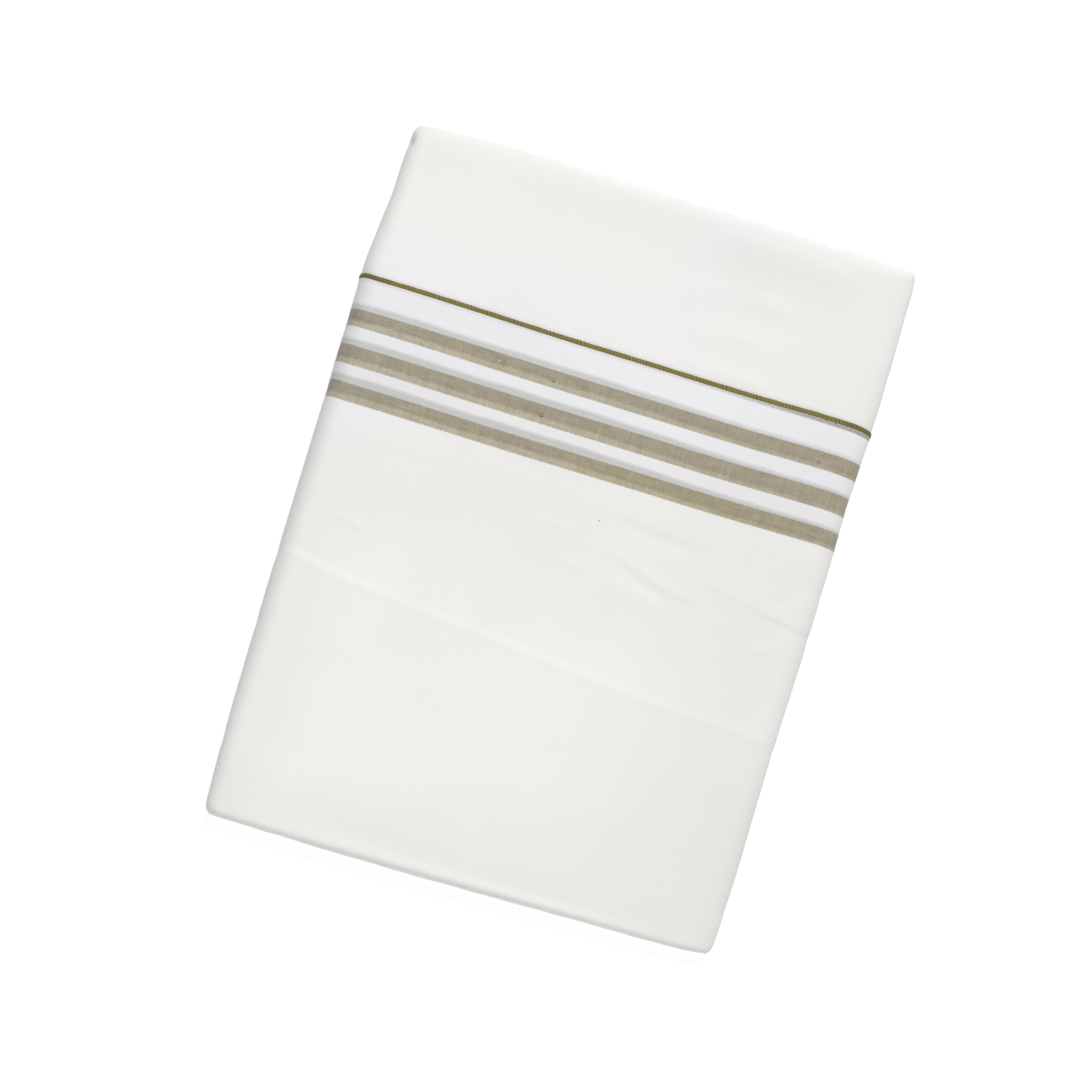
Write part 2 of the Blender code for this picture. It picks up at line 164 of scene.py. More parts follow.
# Creases on the top face: a line of points (x, y), how high it stands (negative for a
# trough), and how far it spreads toward +Y and toward -Y.
Crease = namedtuple("Crease", "points height above below")
CREASES = [Crease(*row) for row in [
    # the long crease right across the lower half: a crest with a soft drop below it, and a
    # wider swell that dies away slowly, fuller at both ends
    ([(-127, -46.4), (-110, -50.2), (-100, -52.0), (-80, -54.4), (-60, -56.8), (-40, -59.0), (-20, -60.8),
      (0, -63.4), (20, -65.4), (40, -67.4), (60, -68.9), (80, -70.0), (96, -70.9)], 0.17, 2.8, 1.9),
    ([(44, -67.8), (60, -68.9), (80, -70.0), (100, -71.0), (126, -73.1)], 0.12, 2.7, 1.6),
    ([(-127, -46.4), (-100, -52.0), (-60, -56.8), (-20, -60.8), (20, -65.0), (60, -68.6), (126, -72.9)],
     0.25, 3.1, 13.0),
    ([(0, -63.6), (24, -65.6), (60, -68.4), (100, -71.4), (126, -73.6)], 0.07, 4.6, 13.0),
    ([(-127, -46.6), (-112, -49.8), (-96, -52.8), (-70, -55.8)], 0.15, 2.1, 9.0),
    # short creases that run into the right edge
    ([(68, -4.9), (84, -7.3), (100, -10.3), (112, -12.5), (126, -14.6)], 0.23, 5.0, 1.3),
    ([(98, -10.2), (112, -12.4), (127, -14.5)], 0.11, 3.0, 1.3),
    ([(105, -8.0), (110, -3.0), (114, 1.5), (118, 5.5), (123, 9.0)], -0.42, 2.4, 3.8),
    ([(98, -32.0), (108, -28.0), (120, -21.0)], 0.38, 2.8, 3.6),
    # the curved wrinkle and the shallow troughs round it
    ([(16, -0.6), (24, -3.2), (32, -6.0), (41.5, -8.2), (50, -11.4), (58, -13.8), (67, -14.6), (77, -14.6)],
     0.31, 2.9, 2.3),
    ([(27, -8.8), (36, -12.4), (44, -14.6), (50, -16.8), (56, -19.4), (63, -24.5)], -0.18, 2.7, 2.6),
    ([(20, -14.9), (32, -16.8), (43, -19.2), (54, -22.0), (61, -26.2)], 0.15, 2.1, 5.0),
    ([(18, 11.6), (34, 10.2), (46, 9.0), (60, 8.0), (76, 8.6)], -0.38, 3.6, 5.4),
    ([(30, 10.6), (46, 9.6), (64, 8.8)], -0.15, 2.4, 3.6),
    ([(-22, 3.4), (-8, 2.6), (8, 1.8)], 0.22, 2.6, 3.4),
    ([(-2, -13.8), (10, -14.1), (27, -14.9)], 0.15, 1.9, 2.6),
    # the edge of the ply beneath, showing as a faint step
    ([(-127, 17.0), (-90, 16.6), (-60, 16.2), (-20, 15.8), (20, 15.4), (74, 14.6)], 0.15, 9.0, 2.0),
    # faint creases near the left edge
    ([(-119, -19.6), (-104, -23.4), (-86, -27.9)], 0.20, 2.4, 1.8),
    ([(-125, -31.2), (-114, -32.2), (-104, -33.6)], 0.10, 1.6, 1.4),
    # the soft trough that runs beside the bottom fold
    ([(-118, -169.0), (-60, -170.6), (0, -172.0), (60, -171.6), (114, -169.0)], -0.42, 6.8, 4.2),
    ([(50, -157.4), (90, -156.8), (122, -157.2)], 0.08, 1.4, 1.2),
    # ripples of the plain stretch
    ([(15, 117), (23, 127), (32, 133.0), (42, 136.0), (54, 137.2), (68, 136.8), (86, 133.5)], 0.76, 6.4, 6.0),
    ([(26, 110.5), (40, 115.0), (55, 116.2), (74, 114.6)], 0.64, 5.4, 6.0),
    ([(24, 96.4), (44, 97.2), (66, 96.4), (82, 95.0)], 0.50, 4.0, 3.6),
    ([(22, 163.4), (48, 164.4), (74, 164.0), (112, 160)], 0.80, 4.5, 10.0),
    ([(-112, 163), (-60, 165.5), (-10, 164.5)], 0.24, 4.0, 7.0),
]]
# Puckers over the side edges: place round the section, along the packet, depth and spread.
Pucker = namedtuple("Pucker", "place along depth spread")
PUCKERS = [Pucker(LEFT_EDGE, *row) for row in (
    (38, 0.28, 6.0), (96, 0.20, 4.5), (131, 0.30, 3.5), (214, 0.22, 7.0), (249, 0.18, 5.0), (318, 0.26, 6.5))]
PUCKERS += [Pucker(RIGHT_EDGE, *row) for row in (
    (24, 0.22, 5.0), (104, 0.24, 3.5), (164, 0.36, 3.0), (187, 0.20, 5.5), (233, 0.24, 6.0), (300, 0.22, 5.0),
    (336, 0.18, 4.0))]
# Dents in the side edges: place round the section, along the packet, depth, spread round and along.
Dent = namedtuple("Dent", "place along depth round along_spread")
DENTS = [Dent(1.61, 347.0, 1.7, 2.0, 3.6), Dent(3.30, 349.5, 0.5, 2.6, 3.0)]

# ---- the border's pattern
# Stripes: start and stop from the selvage, and how strongly the same stripe of the ply
# beneath shows through, at the left and at the right.
Stripe = namedtuple("Stripe", "start stop shows_left shows_right")
STRIPES = [
    Stripe(16.45, 25.15, 0.90, 0.68),
    Stripe(34.35, 43.85, 1.00, 0.92),
    Stripe(52.75, 61.45, 1.00, 1.00),
]
# Slubs in the stripes: x, distance from the selvage, half length, half width and strength.
Slub = namedtuple("Slub", "x down half_length half_width strength")
DARK_SLUBS = [Slub(*row) for row in (
    (-25.4, 22.0, 1.5, 0.55, 0.75), (-22.2, 22.1, 0.8, 0.45, 0.60), (-14.0, 22.0, 9.0, 0.28, 0.30),
    (-26.2, 40.2, 1.3, 0.75, 0.75), (-27.5, 39.0, 3.4, 1.20, 0.30), (-50.5, 20.8, 1.2, 2.60, 0.28),
    (-92.0, 40.3, 2.2, 0.35, 0.55), (-85.0, 40.4, 3.6, 0.28, 0.40), (107.2, 22.2, 1.5, 1.00, 0.40),
    (49.0, 32.4, 1.8, 0.40, 0.40), (-34.0, 38.6, 3.0, 2.00, 0.16), (-118.5, 21.6, 2.6, 1.60, 0.14))]
WHITE_SLUBS = [Slub(*row) for row in (
    (-53.0, 20.2, 0.42, 0.36, 0.75), (-72.0, 19.9, 0.35, 0.55, 0.50),
    (-28.6, 23.8, 0.30, 0.60, 0.40), (86.0, 56.4, 0.35, 0.55, 0.35))]
FLECK = Slub(14.8, 80.8, 0.55, 0.55, 0.6)  # one dark fleck below the border

# Soft patches of tone, some of them painted light and shade: x, distance from the selvage, and the tint in full.
# A pair of places is where a patch starts and where it is full, four are that and where it begins and ends to
# fade, and none leaves it open.
Patch = namedtuple("Patch", "x down red green blue")
BORDER_PATCHES = [Patch(*row) for row in [
    ((30, 125), (155, 220), 0.984, 0.984, 0.972),  # toward the lower right corner
    ((10, 120), (), 0.967, 0.967, 0.967),  # all the right side
    ((108, 124), (150, 230), 0.962, 0.962, 0.962),  # painted shade where the right edge turns down, low down
    ((-6, 26, 58, 92), (106, 118, 130, 152), 0.984, 0.984, 0.984),  # painted shade below the wrinkle
    ((-92, -126), (225, 256), 0.960, 0.960, 0.960),  # the lower left corner
    ((10, 60), (263.5, 267.5), 1.045, 1.045, 1.045),  # painted highlight on the bottom fold's right half
    ((-60, -10), (24, 14), 1.018, 1.018, 1.018),  # the white band by the cord
    ((), (38, 44, 53, 60), 0.994, 0.980, 0.964),  # between the lower two stripes
    ((-64, -92), (20, 30, 53, 60), 0.976, 0.976, 0.976),  # between the stripes, left
    ((), (185, 235), 1.022, 1.022, 1.022),  # painted light toward the bottom fold
]]
STRIPE_PATCHES = [Patch(*row) for row in [
    ((-70, -116), (), 0.978, 1.000, 1.020),  # cooler at the left
    ((-20, 10, 96, 116), (47, 50), 0.995, 0.985, 0.900),  # golden, in the lowest stripe
]]
# The plain stretch, from the selvage up.  The first rows' edges wander, the next one's only
# in height, and the last ones' don't.
PLAIN_WANDERING = [Patch(*row) for row in [
    ((-116, -98, -64, -46), (44, 32), 1.004, 0.993, 1.000),  # pinkish by the selvage
    ((28, -32), (26, 40), 1.002, 1.000, 0.967),  # creamy above it
]]
PLAIN_NEAR_SELVAGE = [Patch((-20, 20, 66, 100), (44, 32), 1.020, 1.020, 1.020)]
PLAIN_PATCHES = [Patch(*row) for row in [
    ((16, 48, 72, 128), (48, 58, 66, 76), 0.972, 0.976, 0.972),  # painted shade between the ripples
    ((-80, -20), (80.5, 84), 1.030, 1.030, 1.030),  # painted highlight on the top fold's rim
]]


# ---- plain maths
def smooth(value):
    """Ease from 0 to 1 as value goes from 0 to 1."""
    held = np.clip(value, 0.0, 1.0)
    return held * held * (3.0 - 2.0 * held)


def read_table(rows, column, at):
    """Read one column of a table at values of its first column, on a smooth curve."""
    keys, values = rows[:, 0], rows[:, column]
    at = np.clip(at, keys[0], keys[-1])
    i = np.clip(np.searchsorted(keys, at, side="right") - 1, 0, len(keys) - 2)
    steps = np.diff(values) / np.diff(keys)
    slopes = np.concatenate([steps[:1], 0.5 * (steps[:-1] + steps[1:]), steps[-1:]])
    span = keys[i + 1] - keys[i]
    t = (at - keys[i]) / span
    return (values[i] * (2 * t**3 - 3 * t**2 + 1) + values[i + 1] * (3 * t**2 - 2 * t**3)
            + span * slopes[i] * (t**3 - 2 * t**2 + t) + span * slopes[i + 1] * (t**3 - t**2))


def end_turn(distance, reach):
    """1 at an end's tip, 0 from its reach on, round a squarish quarter turn between."""
    into = np.clip(1.0 - distance / reach, 0.0, 1.0)
    return 1.0 - (1.0 - into**END_SQUARENESS) ** (1.0 / END_SQUARENESS)


def plan_y(x, along):
    """Where a distance along the packet lies in Y, between the straying folds and selvage."""
    bottom = -0.5 * LENGTH + read_table(ENDS, 1, x)
    selvage = SELVAGE_ALONG - 0.5 * LENGTH + read_table(ENDS, 2, x)
    top = 0.5 * LENGTH + read_table(ENDS, 3, x)
    return np.where(along < SELVAGE_ALONG,
                    bottom + (selvage - bottom) * along / SELVAGE_ALONG,
                    selvage + (top - selvage) * (along - SELVAGE_ALONG) / SELVAGE_FROM_TOP)


def form(place, along):
    """Points of the smooth outer form, for arrays of places round it and along it."""
    place, along = np.broadcast_arrays(np.asarray(place, float), np.asarray(along, float))
    to_top = LENGTH - along
    bottom = end_turn(along, BOTTOM_END.reach)
    top = end_turn(to_top, TOP_END.reach)
    high = read_table(HEIGHTS, 1, along) - BOTTOM_END.drop * bottom - TOP_END.drop * top
    low = (BOTTOM_END.lift * end_turn(along, BOTTOM_END.under_reach)
           + TOP_END.lift * end_turn(to_top, TOP_END.under_reach))
    bottom_cut = end_turn(along, BOTTOM_END.corner_reach)
    top_cut = end_turn(to_top, TOP_END.corner_reach)
    left = (read_table(SIDES, 1, along)
            + BOTTOM_END.left_corner * bottom_cut + TOP_END.left_corner * top_cut)
    right = (read_table(SIDES, 2, along)
             - BOTTOM_END.right_corner * bottom_cut - TOP_END.right_corner * top_cut)
    middle = low + WIDEST_AT * (high - low)
    squeeze = ROUNDING_KEPT + (1.0 - ROUNDING_KEPT) * (high - low) / BORDER_HEIGHT
    zone = np.clip(place.astype(int), 0, 4)
    part = place - zone
    under_left = ((CLOTH_END_X - 0.5 * CLOTH_END_GAP) * (1.0 - part)
                  + (left + UNDER_ROUNDING * squeeze) * part)
    under_right = ((right - UNDER_ROUNDING * squeeze) * (1.0 - part)
                   + (CLOTH_END_X + 0.5 * CLOTH_END_GAP) * part)
    over = (left + LEFT_ROUNDING * squeeze) * (1.0 - part) + (right - RIGHT_ROUNDING * squeeze) * part
    turn = math.pi * (part - 0.5) * np.where(zone == 1, 1.0, -1.0)
    rounding = np.where(turn > 0.0, np.where(zone == 1, LEFT_ROUNDING, RIGHT_ROUNDING), UNDER_ROUNDING)
    inward = rounding * squeeze * (1.0 - np.cos(turn))
    edge = np.where(zone == 1, left + inward, right - inward)
    edge_z = middle + np.sin(turn) * np.where(turn > 0.0, high - middle, middle - low)
    x = np.choose(zone, [under_left, edge, over, edge, under_right])
    z = np.choose(zone, [low, edge_z, high, edge_z, low])
    lifted = np.clip((z - middle) / (high - middle), 0.0, 1.0)
    across = (x - left) / (right - left)
    crowned = z + lifted * CROWN * np.sin(math.pi * across) * (1.0 - bottom - top)
    return np.stack([x - BOX_CENTRE_X, plan_y(x, along), crowned], axis=-1)


def form_normal(place, along):
    """Outward directions of the form."""
    place, along = np.broadcast_arrays(np.asarray(place, float), np.asarray(along, float))
    round_step, along_step = 0.01, 0.0002
    across = (form(np.minimum(place + round_step, 4.999), along)
              - form(np.maximum(place - round_step, 0.0), along))
    forward = (form(place, np.minimum(along + along_step, LENGTH))
               - form(place, np.maximum(along - along_step, 0.0)))
    normal = np.cross(across, forward)
    return normal / np.linalg.norm(normal, axis=-1, keepdims=True)


def side_share(place):
    """1 round the upper half of the packet, 0 on the flat underside."""
    return smooth((place - 1.0) / 0.5) * smooth((4.0 - place) / 0.5)


def top_share(place):
    """1 on the top face, 0 from the widest point of each side edge down."""
    return smooth((place - LEFT_EDGE) / 0.5) * smooth((RIGHT_EDGE - place) / 0.5)


def selvage_rise(place):
    """How far the border and its selvage ride up, toward the top end, round each side edge."""
    left = smooth((2.05 - place) / 0.5) * smooth((place - 1.0) / 0.4)
    right = smooth((place - 2.95) / 0.5) * smooth((4.0 - place) / 0.4)
    return LEFT_RISE * left + RIGHT_RISE * right


def crease_relief(x, y):
    """Height in metres that the creases add at points of the top face."""
    total = np.zeros_like(x)
    px, py = 1000.0 * x, 1000.0 * y - 0.5
    for crease in CREASES:
        points = np.array(crease.points, float)
        runs = np.diff(points, axis=0)
        lengths = np.hypot(runs[:, 0], runs[:, 1])
        starts = np.concatenate([[0.0], np.cumsum(lengths)])
        nearest = np.full(px.shape, 1e9)
        signed = np.zeros(px.shape)
        reached = np.zeros(px.shape)
        for point, run, length, start in zip(points, runs, lengths, starts):
            t = np.clip(((px - point[0]) * run[0] + (py - point[1]) * run[1]) / length**2, 0.0, 1.0)
            dx = px - point[0] - t * run[0]
            dy = py - point[1] - t * run[1]
            away = np.hypot(dx, dy)
            closer = away < nearest
            signed = np.where(closer, away * np.sign(run[0] * dy - run[1] * dx), signed)
            reached = np.where(closer, start + t * length, reached)
            nearest = np.minimum(nearest, away)
        share = reached / starts[-1]
        height = np.full(px.shape, crease.height)
        for end_x, passed in ((points[0, 0], share), (points[-1, 0], 1.0 - share)):
            if abs(end_x) <= FACE_EDGE:
                height = height * smooth(FADE * passed)
        spread = np.where(signed > 0.0, crease.above, crease.below)
        total += height * np.exp(-(signed / spread) ** 2)
    return 0.001 * total


def soft_waves(x, y, seed):
    """Gentle unevenness, a few sine waves of unlike lengths, about 1 high in all."""
    draw = np.random.default_rng(seed)
    total = np.zeros(np.broadcast(x, y).shape)
    for length in (0.110, 0.071, 0.047, 0.031, 0.022):
        turn, start = draw.uniform(0.0, math.pi), draw.uniform(0.0, math.tau)
        run = x * math.cos(turn) + y * math.sin(turn)
        total += (length / 0.11) * np.sin(math.tau * run / length + start)
    return 0.4 * total


def surface(place, along, depth, seed):
    """The cloth's face: the form, less a depth, creased on top, puckered and dented at the edges."""
    base = form(place, along)
    normal = form_normal(place, along)
    place, along = np.broadcast_arrays(np.asarray(place, float), np.asarray(along, float))
    x, y = base[..., 0], base[..., 1]
    clear = smooth(along / 0.006) * smooth((LENGTH - along) / 0.009)
    relief = top_share(place) * clear * (crease_relief(x, y) + WAVE_HEIGHT * soft_waves(x, y, seed))
    for pucker in PUCKERS:
        off_round = place - pucker.place
        off_along = 1000.0 * along - pucker.along - 2.5 * off_round
        relief -= 0.001 * pucker.depth * np.exp(-(off_round / 0.45) ** 2 - (off_along / pucker.spread) ** 2)
    for dent in DENTS:
        off_round = EDGE_TURN * (place - dent.place) / dent.round
        off_along = (1000.0 * along - dent.along) / dent.along_spread
        relief -= 0.001 * dent.depth * np.exp(-off_round**2 - off_along**2)
    return base + normal * (relief - depth)[..., None]


# ---- meshes
def section_places(under, edge, top):
    """Places round the section: steps on each half of the underside, each edge and the top."""
    counts = [under, edge, top, edge, under]
    places = [zone + k / count for zone, count in enumerate(counts) for k in range(count)]
    return np.array(places + [LAST_PLACE])


def round_length(places):
    """Distance round the section at mid length, in metres, at each place."""
    ring = form(places, np.full(len(places), 0.5 * LENGTH))
    return np.concatenate([[0.0], np.cumsum(np.linalg.norm(np.diff(ring, axis=0), axis=1))])


def grid_faces(rows, columns, start, flip):
    """Quads between rows of a grid of vertices."""
    faces = []
    for r in range(rows - 1):
        for c in range(columns - 1):
            a = start + r * columns + c
            quad = (a, a + 1, a + columns + 1, a + columns)
            faces.append(quad[::-1] if flip else quad)
    return faces


def tube_faces(rows, columns):
    """Quads round a closed tube of rings, and a face over each of its ends."""
    faces = []
    for r in range(rows - 1):
        for c in range(columns):
            d = (c + 1) % columns
            a, b = r * columns, (r + 1) * columns
            faces.append((a + c, a + d, b + d, b + c))
    faces.append(tuple(reversed(range(columns))))
    faces.append(tuple(range((rows - 1) * columns, rows * columns)))
    return faces


def make_object(name, points, faces, uv, material, attributes=None):
    """A smooth-shaded mesh object with one UV map in metres of cloth and named values a point."""
    mesh = bpy.data.meshes.new(name)
    mesh.from_pydata([tuple(p) for p in points], [], faces)
    layer = mesh.uv_layers.new(name="cloth")
    corners = np.empty(len(mesh.loops), int)
    mesh.loops.foreach_get("vertex_index", corners)
    layer.data.foreach_set("uv", np.asarray(uv, np.float32)[corners].ravel())
    for key, values in (attributes or {}).items():
        attribute = mesh.attributes.new(key, "FLOAT", "POINT")
        attribute.data.foreach_set("value", np.asarray(values, np.float32))
    mesh.materials.append(material)
    mesh.update()
    mesh.shade_smooth()
    piece = bpy.data.objects.new(name, mesh)
    bpy.context.scene.collection.objects.link(piece)
    return piece


def shell(name, outer, thickness, uv, material, keep_every):
    """A closed cloth: a fine outer face, an inner face of fewer rows, and rounded rims."""
    rim_steps = 4
    rows, columns = outer.shape[:2]
    kept = list(range(0, rows - 1, keep_every)) + [rows - 1]
    inner = (outer - thickness)[kept]
    points = [outer.reshape(-1, 3), inner.reshape(-1, 3)]
    uvs = [uv.reshape(-1, 2), uv[kept].reshape(-1, 2)]
    faces = grid_faces(rows, columns, 0, False)
    faces += grid_faces(len(kept), columns, rows * columns, True)
    count = (rows + len(kept)) * columns

    def outer_at(r, c):
        return r * columns + c

    def inner_at(k, c):
        return (rows + k) * columns + c

    rim_ends = []
    for r, k_inner, neighbour, flip in ((0, 0, 1, True), (rows - 1, len(kept) - 1, rows - 2, False)):
        ahead = outer[r] - outer[neighbour]
        ahead /= np.maximum(np.linalg.norm(ahead, axis=-1, keepdims=True), 1e-9)
        half = 0.5 * thickness[r]
        middle = outer[r] - half
        size = np.linalg.norm(half, axis=-1, keepdims=True)
        previous = [outer_at(r, c) for c in range(columns)]
        ends = [[previous[0]], [previous[-1]]]
        for k in range(1, rim_steps + 1):
            if k < rim_steps:
                angle = math.pi * k / rim_steps
                points.append(middle + half * math.cos(angle) + ahead * size * math.sin(angle))
                uvs.append(uv[r])
                current = list(range(count, count + columns))
                count += columns
            else:
                current = [inner_at(k_inner, c) for c in range(columns)]
            for c in range(columns - 1):
                quad = (previous[c], previous[c + 1], current[c + 1], current[c])
                faces.append(quad[::-1] if flip else quad)
            ends[0].append(current[0])
            ends[1].append(current[-1])
            previous = current
        rim_ends.append(ends)
    # the two slit edges along the packet, where the wound length ends: triangles from each
    # step of the outer face to the inner face's nearer row, and one between its rows
    for side, column in ((0, 0), (1, columns - 1)):
        for k in range(len(kept) - 1):
            line = [outer_at(r, column) for r in range(kept[k], kept[k + 1] + 1)]
            near, far = inner_at(k, column), inner_at(k + 1, column)
            half_way = len(line) // 2
            corners = [(line[half_way], far, near)]
            corners += [(line[i], line[i + 1], near if i < half_way else far) for i in range(len(line) - 1)]
            faces += [corner if side == 0 else corner[::-1] for corner in corners]
        for ends, flip in ((rim_ends[0][side], side == 0), (rim_ends[1][side], side == 1)):
            faces.append(tuple(ends[::-1] if flip else ends))
    return make_object(name, np.concatenate(points), faces, np.concatenate(uvs), material)


def end_angles(reach, last, steps):
    """Distances from an end's tip, evenly spaced round its quarter turn up to an angle."""
    return [reach * (1.0 - math.sin(math.radians(last) * k / steps)) for k in range(steps, 0, -1)]


# ---- material helpers
WHITE = (1.0, 1.0, 1.0, 1.0)


class Value:
    """A number or colour that a node gives, with the sums and shapes made from it."""

    def __init__(self, nodes, socket):
        self.nodes, self.socket = nodes, socket

    def __add__(self, other):
        return self.nodes.maths("ADD", self, other)

    def __sub__(self, other):
        return self.nodes.maths("SUBTRACT", self, other)

    def __mul__(self, other):
        return self.nodes.maths("MULTIPLY", self, other)

    def __truediv__(self, other):
        return self.nodes.maths("DIVIDE", self, other)

    __radd__, __rmul__ = __add__, __mul__

    def step(self, start, stop):
        """0 before start, 1 past stop, eased between."""
        return self.nodes.make("MapRange", self, start, stop, 0, 1, interpolation_type="SMOOTHSTEP")

    def scale(self, start, stop, low, high):
        """A straight change from low at start to high at stop."""
        return self.nodes.make("MapRange", self, start, stop, low, high)

    def blend(self, low, high):
        """Low where a share is 0, high where it is 1."""
        return self.scale(0, 1, low, high)

    def spread(self, amount):
        """A noise brought to about plus or minus an amount."""
        return self.scale(0.32, 0.68, -amount, amount)

    def window(self, places):
        """1 inside a patch's pair or four of places, 0 outside it, and 1 everywhere for none."""
        if not places:
            return 1.0
        inside = self.step(places[0], places[1])
        return inside * self.step(places[3], places[2]) if len(places) == 4 else inside


class Nodes:
    """The node tree of one material, with short names for what it needs."""

    def __init__(self, name):
        self.material = bpy.data.materials.new(name)
        self.material.use_nodes = True
        self.tree = self.material.node_tree
        self.shader = self.tree.nodes["Principled BSDF"]

    def put(self, value, socket):
        if isinstance(value, Value):
            self.tree.links.new(value.socket, socket)
        else:
            socket.default_value = value

    def make(self, kind, *values, named=None, output=0, **settings):
        """One output of a new node, its first inputs filled in order and others by key."""
        node = self.tree.nodes.new("ShaderNode" + kind)
        for key, setting in settings.items():
            setattr(node, key, setting)
        for key, value in [*enumerate(values), *(named or {}).items()]:
            self.put(value, node.inputs[key])
        return Value(self, node.outputs[output])

    def maths(self, operation, *values, clamp=False):
        return self.make("Math", *values, operation=operation, use_clamp=clamp)

    def vector(self, x, y, z):
        return self.make("CombineXYZ", x, y, z)

    def noise(self, vector, scale, detail=1, rough=0.5):
        named = {"Vector": vector, "Scale": scale, "Detail": detail, "Roughness": rough}
        return self.make("TexNoise", named=named, output="Fac")

    def yarns(self, across, down, per_across, per_down, seed, detail=1):
        """A noise stretched to so many grains a millimetre each way."""
        return self.noise(self.vector(across * per_across, down * per_down, seed), 1, detail)

    def mix(self, amount, first, second):
        return self.make("Mix", named={0: amount, 6: first, 7: second}, output=2, data_type="RGBA")

    def shade(self, colour, value):
        """A colour times a plain number."""
        first = colour[:3] if isinstance(colour, tuple) else colour
        return self.make("VectorMath", first, named={"Scale": value}, operation="SCALE")

    def tint(self, colour, by):
        """A colour times another."""
        return self.make("VectorMath", colour, by, operation="MULTIPLY")

    def patches(self, colour, x, down, rows):
        """A colour tinted by each of a table's soft patches."""
        for patch in rows:
            inside = x.window(patch.x) * down.window(patch.down)
            colour = self.tint(colour, self.mix(inside, WHITE, (patch.red, patch.green, patch.blue, 1)))
        return colour

    def slub(self, colour, x, down, slub, other):
        """A colour with a soft oval of another over it."""
        over, under = (x - slub.x) / slub.half_length, (down - slub.down) / slub.half_width
        inside = (over * over + under * under).step(1.2, 0.1)
        return self.mix(inside * slub.strength, colour, other)

    def cloth_millimetres(self):
        """Distance round the cloth and distance from the selvage, in millimetres."""
        uv = self.make("UVMap", uv_map="cloth")
        return [self.make("SeparateXYZ", uv, output=side) * 1000 for side in (0, 1)]

    def finish_cotton(self, colour, height, sheen=0.10):
        """Give the material its colour, the raised grain of its threads and a matt surface."""
        bump = self.make("Bump", named={"Height": height, "Strength": 0.45, "Distance": 0.00012})
        for key, value in (("Base Color", colour), ("Roughness", 0.88), ("Specular IOR Level", 0.25),
                           ("Sheen Weight", sheen), ("Sheen Roughness", 0.45), ("Normal", bump)):
            self.put(value, self.shader.inputs[key])
        return self.material


def linear(r, g, b):
    """A colour of the cloth under a light that shows white at 1.05."""
    def one(value):
        value /= 255.0
        value = value / 12.92 if value <= 0.04045 else ((value + 0.055) / 1.055) ** 2.4
        return value / 1.05
    return (one(r), one(g), one(b), 1.0)


BRIGHT = linear(232, 231.5, 234.5)  # ground of the border
CREAMY = linear(235.5, 234.5, 231.8)  # ground below the border
COOL = linear(235, 233.8, 236.5)  # the same near its left end
PLAIN = linear(235, 234.2, 234.2)  # the plain stretch, left
PLAIN_RIGHT = linear(231.8, 231.3, 229)
STRIPE = linear(179.5, 172.5, 153)
STRIPE_OVER = linear(159, 152, 133.5)  # over a stripe of the ply beneath
STRIPE_DASH = linear(122, 112, 84)
DARK_SLUB = linear(112, 100, 70)
WHITE_SLUB = linear(222, 215, 190)
SEEN_THROUGH = linear(196, 195.5, 194.5)
LINE_SHADOW = linear(172, 171, 168)
LINE_DOTS = linear(112, 108, 98)
FLECK_DARK = linear(60, 56, 52)
THREAD = linear(135, 124.5, 70)
THREAD_GROOVE_SHADE = linear(77, 70, 26)
INNER = linear(236, 235, 231)

Weave = namedtuple("Weave", "weft warp fine height grain")


def weave(nodes, across, down):
    """Slubby threads both ways: how light they are, how high they stand, and their fine grain."""
    weft = nodes.yarns(across, down, 2.1, 0.085, 3, 1.5)
    warp = nodes.yarns(across, down, 0.060, 2.3, 7, 1.5)
    fine = nodes.noise(nodes.vector(across, down, 11), 1.35, 2, 0.6)
    return Weave(weft, warp, fine, height=weft * 0.35 + warp * 0.35 + fine * 0.3,
                 grain=weft.spread(0.007) + warp.spread(0.005) + fine.spread(0.007))


def stripe_mask(down, rise, fall, share=None):
    """1 inside a stripe and 0 outside: how soft its upper and lower edges are, in millimetres.

    With a share, each stripe is as strong as it shows through from the ply beneath.
    """
    total = 0.0
    for stripe in STRIPES:
        inside = (down.step(stripe.start - rise[0], stripe.start + rise[1])
                  * down.step(stripe.stop + fall, stripe.stop - fall))
        if share is not None:
            inside = inside * share.blend(stripe.shows_left, stripe.shows_right)
        total = total + inside
    return total


# ---- materials
def border_ground(nodes, across, x, down, yarn):
    """Bright and cool among the stripes, creamy below them, softly uneven, with painted light and shade over its
    slopes and edges.
    """
    cloud = nodes.noise(nodes.vector(across, down, 0), 0.016)
    wander = cloud.scale(0.3, 0.7, -9, 9)
    slanted = down + (x + 128) * 0.45 + wander * 0.4
    creamy = nodes.mix(slanted.step(92, 78), CREAMY, COOL)
    ground = nodes.mix((down + wander * 0.3).step(56, 66), BRIGHT, creamy)
    ground = nodes.shade(ground, cloud.scale(0.25, 0.75, 0.987, 1.011))
    # painted light where the face tilts toward the light: the lightest stretch, below the border, with a slanted
    # lower edge
    wavy_down = down + wander
    sloped = wavy_down + (x + 32) * 0.27
    painted_light_stretch = wavy_down.step(96, 150) * sloped.step(252, 214) * (x + wander).window((-124, -76, 34, 112))
    ground = nodes.tint(ground, nodes.mix(painted_light_stretch, WHITE, (1.044, 1.042, 1.028, 1)))
    # painted light, growing toward the bottom fold where the face slopes away from the key lamp
    ground = nodes.shade(ground, down.scale(110, 250, 1, 1.018))
    ground = nodes.patches(ground, x, down, BORDER_PATCHES)
    # darker threads among the rest, that die away toward the bottom fold
    threads = nodes.yarns(across, down, 0.9, 0.045, 31, 0)
    darker = threads.step(0.58, 0.72) * down.step(200, 130) * x.window((-80, -40, 0, 30)) * 0.008
    return nodes.shade(ground, yarn.grain - darker + 1)


